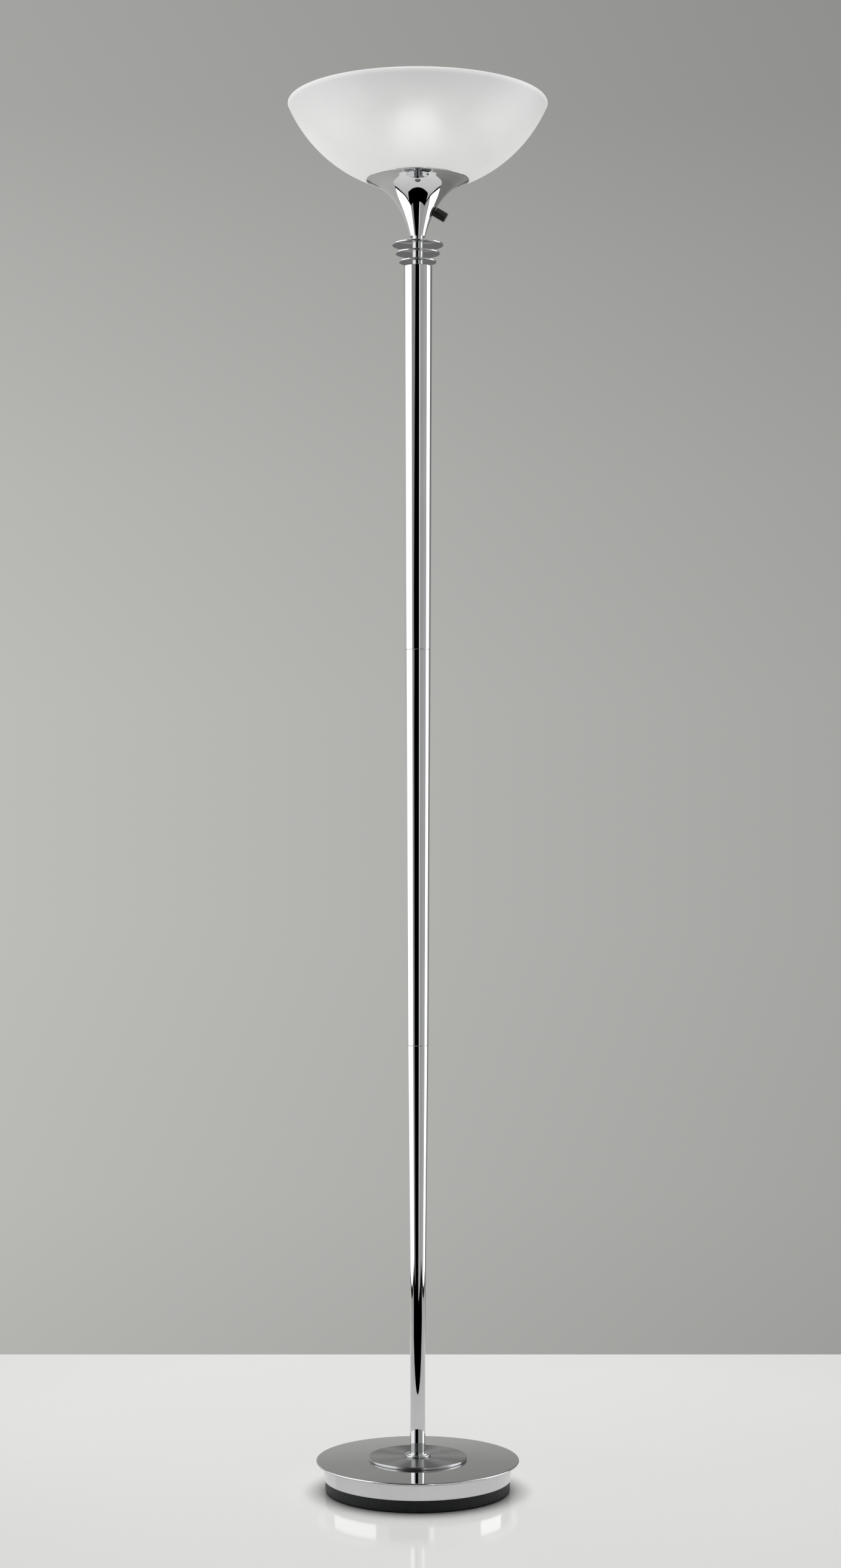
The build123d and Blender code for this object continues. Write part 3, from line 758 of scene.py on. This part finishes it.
def build_floor():
    """White floor that ends at the wall, and its parts that look dark in reflections."""
    pieces = [plane("studio_floor", [
        (-FLOOR_REACH, -FLOOR_REACH, 0), (FLOOR_REACH, -FLOOR_REACH, 0),
        (FLOOR_REACH, FLOOR_BACK, 0), (-FLOOR_REACH, FLOOR_BACK, 0)], floor_material("studio_floor"))]
    dark_floor = floor_material("studio_floor_dark", dark_in_reflections=True)
    for name, corners in DARK_AREAS.items():
        pieces.append(plane(name, [(*corner, DARK_LIFT) for corner in corners], dark_floor))
    return pieces


def link_floor(light, floor, state):
    """Makes a light or a card skip the floor (EXCLUDE), or light only the floor (INCLUDE)."""
    receivers = bpy.data.collections.new(light.name + "_receivers")
    for piece in floor:
        receivers.objects.link(piece)
    for link in receivers.collection_objects:
        link.light_linking.link_state = state
    light.light_linking.receiver_collection = receivers


def hidden_card(name, corners, strength, floor, lights_lamp=True):
    """Card that shows only in reflections, and that may light the lamp but not the floor."""
    card = plane(name, corners, card_material(name, strength))
    card.visible_camera = False
    card.visible_shadow = False
    card.visible_diffuse = lights_lamp
    link_floor(card, floor, "EXCLUDE")


def build_cards(floor):
    """The room that the lamp's chrome mirrors."""
    hidden_card("backdrop", [(-BACKDROP_HALF_WIDTH, BACKDROP_DISTANCE, BACKDROP_BOTTOM),
                             (BACKDROP_HALF_WIDTH, BACKDROP_DISTANCE, BACKDROP_BOTTOM),
                             (BACKDROP_HALF_WIDTH, BACKDROP_DISTANCE, BACKDROP_TOP),
                             (-BACKDROP_HALF_WIDTH, BACKDROP_DISTANCE, BACKDROP_TOP)],
                BACKDROP_GREY, floor, lights_lamp=False)
    for name, start, end, strength in UPRIGHT_CARDS:
        hidden_card(name, [(*start, 0), (*end, 0), (*end, ROOM_TOP), (*start, ROOM_TOP)], strength, floor)
    gap = ROOM_FRONT + GAP_IN_FRONT
    hidden_card("dark_gap", [(GAP_LEFT, gap, 0), (GAP_RIGHT, gap, 0), (GAP_RIGHT, gap, ROOM_TOP),
                             (GAP_TOP_LEFT, gap, ROOM_TOP)], 0.0, floor, lights_lamp=False)


def build_world():
    """Grey wall all round, lighter to the left and darker overhead."""
    world = bpy.data.worlds.new("studio_world")
    world.use_nodes = True
    tree = world.node_tree
    background = next(node for node in tree.nodes if node.type == "BACKGROUND")
    coordinates = tree.nodes.new("ShaderNodeTexCoord")
    split = tree.nodes.new("ShaderNodeSeparateXYZ")
    tree.links.new(coordinates.outputs["Generated"], split.inputs["Vector"])
    across = tree.nodes.new("ShaderNodeMapRange")
    across.inputs["From Min"].default_value = -WALL_REACH
    across.inputs["From Max"].default_value = WALL_REACH
    tree.links.new(split.outputs["X"], across.inputs["Value"])
    ends = []
    for side in (1, -1):
        grey = WALL_GREY + side * WALL_SLOPE * WALL_REACH
        ends.append((grey, grey, WALL_WARMTH * grey))
    tree.links.new(ramp(tree, across.outputs["Result"], ((0.0, ends[0]), (1.0, ends[1]))),
                   background.inputs["Color"])
    rise = tree.nodes.new("ShaderNodeMapRange")
    rise.inputs["From Min"].default_value = LOWEST_DIRECTION
    rise.inputs["From Max"].default_value = CEILING_DIRECTION
    tree.links.new(split.outputs["Z"], rise.inputs["Value"])
    stops = [(place, (share, share, share)) for place, share in WALL_SHARES]
    tree.links.new(ramp(tree, rise.outputs["Result"], stops), background.inputs["Strength"])
    bpy.context.scene.world = world


def build_lights(floor):
    """Soft light overhead, with one that lights only the floor."""
    for name, power, depth, floor_only in OVERHEAD_LIGHTS:
        light = bpy.data.lights.new(name, "AREA")
        light.shape = "RECTANGLE"
        light.size, light.size_y = OVERHEAD_WIDTH, depth
        light.energy = power
        holder = bpy.data.objects.new(name, light)
        holder.location = OVERHEAD_PLACE
        holder.visible_camera = False
        holder.visible_glossy = False
        bpy.context.scene.collection.objects.link(holder)
        if floor_only:
            link_floor(holder, floor, "INCLUDE")


def build_studio():
    """Floor, wall, cards and lights."""
    floor = build_floor()
    build_world()
    build_cards(floor)
    build_lights(floor)


# Camera

CAMERA_LENS = 61.04
CAMERA_SENSOR = 36
CAMERA_DISTANCE = 3.506
CAMERA_HEIGHT = 0.871
CAMERA_SIDE = 0.0037
CAMERA_SHIFT = 0.029


def build_camera():
    """Level camera in front of the lamp, shifted up a little to frame all of it."""
    camera = bpy.data.cameras.new("camera")
    camera.sensor_width = CAMERA_SENSOR
    camera.lens = CAMERA_LENS
    camera.shift_y = CAMERA_SHIFT
    holder = bpy.data.objects.new("camera", camera)
    holder.location = (CAMERA_SIDE, -CAMERA_DISTANCE, CAMERA_HEIGHT)
    holder.rotation_euler = (math.radians(90), 0, 0)
    bpy.context.scene.collection.objects.link(holder)
    bpy.context.scene.camera = holder


build_camera()
build_studio()
finish_cad_nodes()
build_base()
build_pole()
build_neck()
build_funnel()
build_bowl()
build_knob()

bpy.context.scene.view_settings.view_transform = "Standard"
